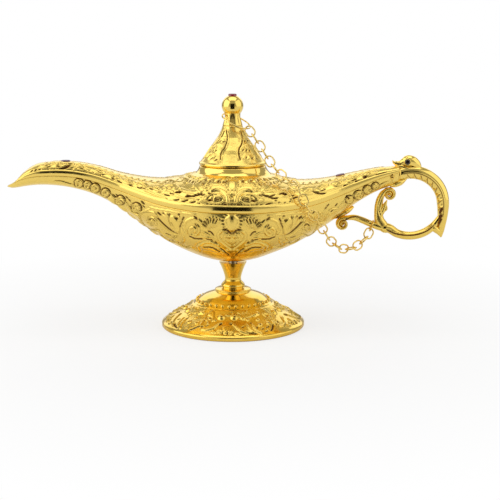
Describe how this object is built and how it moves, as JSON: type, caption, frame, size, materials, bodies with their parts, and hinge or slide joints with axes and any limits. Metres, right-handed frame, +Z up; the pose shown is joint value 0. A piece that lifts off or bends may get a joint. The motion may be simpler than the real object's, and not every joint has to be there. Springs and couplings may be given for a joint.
{
  "type": "genie oil lamp",
  "caption": "Ornate brass oil lamp with a long spout, a domed lid with a ball finial, a serpent handle, a round foot and a chain from lid to handle",
  "frame": {"origin": "centre of the foot's base, on the table", "axes": "+Z up along the lid's axis, -X towards the spout, +X towards the handle; the lamp's length lies along X"},
  "size_m": [0.2099, 0.0688, 0.1111],
  "materials": {
    "gold_brass": "polished",
    "steel": "plain",
    "dark_red_stone": "polished",
    "purple_stone": "polished",
    "maroon_stone": "polished",
    "black_stone": "polished"
  },
  "bodies": {
    "root": {"foot": "gold_brass", "stem": "gold_brass", "tie_screw": "steel", "tie_washer": "steel", "lower_bowl": "gold_brass", "upper_shell": "gold_brass", "spout_stone": "purple_stone", "tail_stone": "maroon_stone", "front_stone": "black_stone", "back_stone": "black_stone", "handle_loop": "gold_brass", "front_eye_stone": "black_stone", "back_eye_stone": "black_stone", "tail_pin": "gold_brass", "handle_bracket": "gold_brass", "rising_scroll": "gold_brass"},
    "lid_carrier": {"chain_top_ring": "gold_brass"},
    "lid": {"lid": "gold_brass", "lid_skirt": "gold_brass", "finial": "gold_brass", "finial_nut": "steel", "finial_stone": "dark_red_stone"},
    "arm_ring": {"chain_arm_ring": "gold_brass"},
    "link_01": {"chain_link_01": "gold_brass"},
    "link_02": {"chain_link_02": "gold_brass"},
    "link_03": {"chain_link_03": "gold_brass"},
    "link_04": {"chain_link_04": "gold_brass"},
    "link_05": {"chain_link_05": "gold_brass"},
    "link_06": {"chain_link_06": "gold_brass"},
    "link_07": {"chain_link_07": "gold_brass"},
    "link_08": {"chain_link_08": "gold_brass"},
    "link_09": {"chain_link_09": "gold_brass"},
    "link_10": {"chain_link_10": "gold_brass"},
    "link_11": {"chain_link_11": "gold_brass"},
    "link_12": {"chain_link_12": "gold_brass"},
    "link_13": {"chain_link_13": "gold_brass"},
    "link_14": {"chain_link_14": "gold_brass"},
    "link_15": {"chain_link_15": "gold_brass"},
    "link_16": {"chain_link_16": "gold_brass"},
    "link_17": {"chain_link_17": "gold_brass"},
    "link_18": {"chain_link_18": "gold_brass"},
    "link_19": {"chain_link_19": "gold_brass"},
    "link_20": {"chain_link_20": "gold_brass"},
    "link_21": {"chain_link_21": "gold_brass"},
    "link_22": {"chain_link_22": "gold_brass"},
    "link_23": {"chain_link_23": "gold_brass"}
  },
  "joints": [
    {"name": "lid_lift", "type": "slide", "parent": "root", "child": "lid_carrier", "axis": [0, 0, 1], "range_m": [0, 0.02]},
    {"name": "lid_turn", "type": "hinge", "parent": "lid_carrier", "child": "lid", "pos_m": [0, 0, 0.0776], "axis": [0, 0, 1], "continuous": true},
    {"name": "arm_ring_swing", "type": "hinge", "parent": "root", "child": "arm_ring", "pos_m": [0.06638, 0, 0.04899], "axis": [-0.9462, 0, 0.3237], "range_deg": [0, 46.9]},
    {"name": "link_01_swing", "type": "hinge", "parent": "arm_ring", "child": "link_01", "pos_m": [0.06581, -0.00134, 0.0468], "axis": [-0.8056, 0.5735, -0.1484], "range_deg": [0, 26.4]},
    {"name": "link_02_swing", "type": "hinge", "parent": "link_01", "child": "link_02", "pos_m": [0.06367, -0.00325, 0.04351], "axis": [-0.1981, -0.9776, 0.0704], "range_deg": [0, 13.1]},
    {"name": "link_03_swing", "type": "hinge", "parent": "link_02", "child": "link_03", "pos_m": [0.06084, -0.00544, 0.04099], "axis": [0.7573, -0.6274, 0.1814], "range_deg": [0, 8.1]},
    {"name": "link_04_swing", "type": "hinge", "parent": "link_03", "child": "link_04", "pos_m": [0.05755, -0.00781, 0.03935], "axis": [0.9098, -0.2841, -0.3024], "range_deg": [0, 7.7]},
    {"name": "link_05_swing", "type": "hinge", "parent": "link_04", "child": "link_05", "pos_m": [0.05397, -0.01027, 0.03889], "axis": [0.7933, -0.5511, -0.2588], "range_deg": [0, 6.9]},
    {"name": "link_06_swing", "type": "hinge", "parent": "link_05", "child": "link_06", "pos_m": [0.05044, -0.01263, 0.0399], "axis": [0.7286, -0.6747, -0.1178], "range_deg": [0, 5.1]},
    {"name": "link_07_swing", "type": "hinge", "parent": "link_06", "child": "link_07", "pos_m": [0.04733, -0.01479, 0.04208], "axis": [0.653, -0.7431, -0.1461], "range_deg": [0, 3.3]},
    {"name": "link_08_swing", "type": "hinge", "parent": "link_07", "child": "link_08", "pos_m": [0.04482, -0.01676, 0.04507], "axis": [0.8835, -0.4637, 0.0668], "range_deg": [0, 3.2]},
    {"name": "link_09_swing", "type": "hinge", "parent": "link_08", "child": "link_09", "pos_m": [0.0427, -0.01855, 0.04846], "axis": [0.5699, 0.7486, -0.3389], "range_deg": [0, 3]},
    {"name": "link_10_swing", "type": "hinge", "parent": "link_09", "child": "link_10", "pos_m": [0.04061, -0.02024, 0.05193], "axis": [0.1017, 0.862, -0.4966], "range_deg": [0, 3.1]},
    {"name": "link_11_swing", "type": "hinge", "parent": "link_10", "child": "link_11", "pos_m": [0.03837, -0.02181, 0.05535], "axis": [0.2065, 0.9662, 0.1542], "range_deg": [0, 3.2]},
    {"name": "link_12_swing", "type": "hinge", "parent": "link_11", "child": "link_12", "pos_m": [0.0359, -0.02323, 0.05869], "axis": [0.4794, -0.0544, 0.8759], "range_deg": [0, 4.7]},
    {"name": "link_13_swing", "type": "hinge", "parent": "link_14", "child": "link_13", "pos_m": [0.03163, -0.0234, 0.06614], "axis": [-0.4856, -0.4533, -0.7475], "range_deg": [0, 9.9]},
    {"name": "link_14_swing", "type": "hinge", "parent": "link_15", "child": "link_14", "pos_m": [0.02979, -0.02156, 0.06964], "axis": [-0.3526, -0.897, -0.2665], "range_deg": [0, 13.9]},
    {"name": "link_15_swing", "type": "hinge", "parent": "link_16", "child": "link_15", "pos_m": [0.02711, -0.01902, 0.07197], "axis": [-0.0781, -0.97, -0.2304], "range_deg": [0, 10.1]},
    {"name": "link_16_swing", "type": "hinge", "parent": "link_17", "child": "link_16", "pos_m": [0.02406, -0.01639, 0.07369], "axis": [0.8708, -0.3209, -0.3725], "range_deg": [0, 6.1]},
    {"name": "link_17_swing", "type": "hinge", "parent": "link_18", "child": "link_17", "pos_m": [0.02111, -0.01403, 0.0759], "axis": [0.7024, 0.6669, -0.2487], "range_deg": [0, 8.4]},
    {"name": "link_18_swing", "type": "hinge", "parent": "link_19", "child": "link_18", "pos_m": [0.01853, -0.0121, 0.07886], "axis": [0.0319, 0.9868, 0.1586], "range_deg": [0, 8.6]},
    {"name": "link_19_swing", "type": "hinge", "parent": "link_20", "child": "link_19", "pos_m": [0.01622, -0.01039, 0.08217], "axis": [-0.3483, 0.6033, 0.7174], "range_deg": [0, 11.9]},
    {"name": "link_20_swing", "type": "hinge", "parent": "link_21", "child": "link_20", "pos_m": [0.014, -0.00872, 0.08556], "axis": [-0.6412, 0.2122, 0.7374], "range_deg": [0, 17]},
    {"name": "link_21_swing", "type": "hinge", "parent": "link_22", "child": "link_21", "pos_m": [0.01177, -0.0071, 0.08897], "axis": [-0.7743, 0.0145, 0.6327], "range_deg": [0, 26.8]},
    {"name": "link_22_swing", "type": "hinge", "parent": "link_23", "child": "link_22", "pos_m": [0.00945, -0.00553, 0.09234], "axis": [-0.7454, 0.3708, 0.5539], "range_deg": [0, 37.9]},
    {"name": "link_23_swing", "type": "hinge", "parent": "lid_carrier", "child": "link_23", "pos_m": [0.00691, -0.00397, 0.09555], "axis": [0.6795, 0.7161, 0.1595], "range_deg": [0, 17.5]}
  ],
  "couplings": [
    {"joint": "arm_ring_swing", "follows": "lid_lift", "rad_per_m": 40.914},
    {"joint": "link_01_swing", "follows": "lid_lift", "rad_per_m": 23.027},
    {"joint": "link_02_swing", "follows": "lid_lift", "rad_per_m": 11.407},
    {"joint": "link_03_swing", "follows": "lid_lift", "rad_per_m": 7.0358},
    {"joint": "link_04_swing", "follows": "lid_lift", "rad_per_m": 6.624},
    {"joint": "link_05_swing", "follows": "lid_lift", "rad_per_m": 5.98},
    {"joint": "link_06_swing", "follows": "lid_lift", "rad_per_m": 4.3643},
    {"joint": "link_07_swing", "follows": "lid_lift", "rad_per_m": 2.8607},
    {"joint": "link_08_swing", "follows": "lid_lift", "rad_per_m": 2.7287},
    {"joint": "link_09_swing", "follows": "lid_lift", "rad_per_m": 2.5882},
    {"joint": "link_10_swing", "follows": "lid_lift", "rad_per_m": 2.6339},
    {"joint": "link_11_swing", "follows": "lid_lift", "rad_per_m": 2.7109},
    {"joint": "link_12_swing", "follows": "lid_lift", "rad_per_m": 4.0144},
    {"joint": "link_13_swing", "follows": "lid_lift", "rad_per_m": 8.5763},
    {"joint": "link_14_swing", "follows": "lid_lift", "rad_per_m": 12.078},
    {"joint": "link_15_swing", "follows": "lid_lift", "rad_per_m": 8.7382},
    {"joint": "link_16_swing", "follows": "lid_lift", "rad_per_m": 5.2811},
    {"joint": "link_17_swing", "follows": "lid_lift", "rad_per_m": 7.3032},
    {"joint": "link_18_swing", "follows": "lid_lift", "rad_per_m": 7.4916},
    {"joint": "link_19_swing", "follows": "lid_lift", "rad_per_m": 10.29},
    {"joint": "link_20_swing", "follows": "lid_lift", "rad_per_m": 14.764},
    {"joint": "link_21_swing", "follows": "lid_lift", "rad_per_m": 23.351},
    {"joint": "link_22_swing", "follows": "lid_lift", "rad_per_m": 33.001},
    {"joint": "link_23_swing", "follows": "lid_lift", "rad_per_m": 15.252}
  ]
}
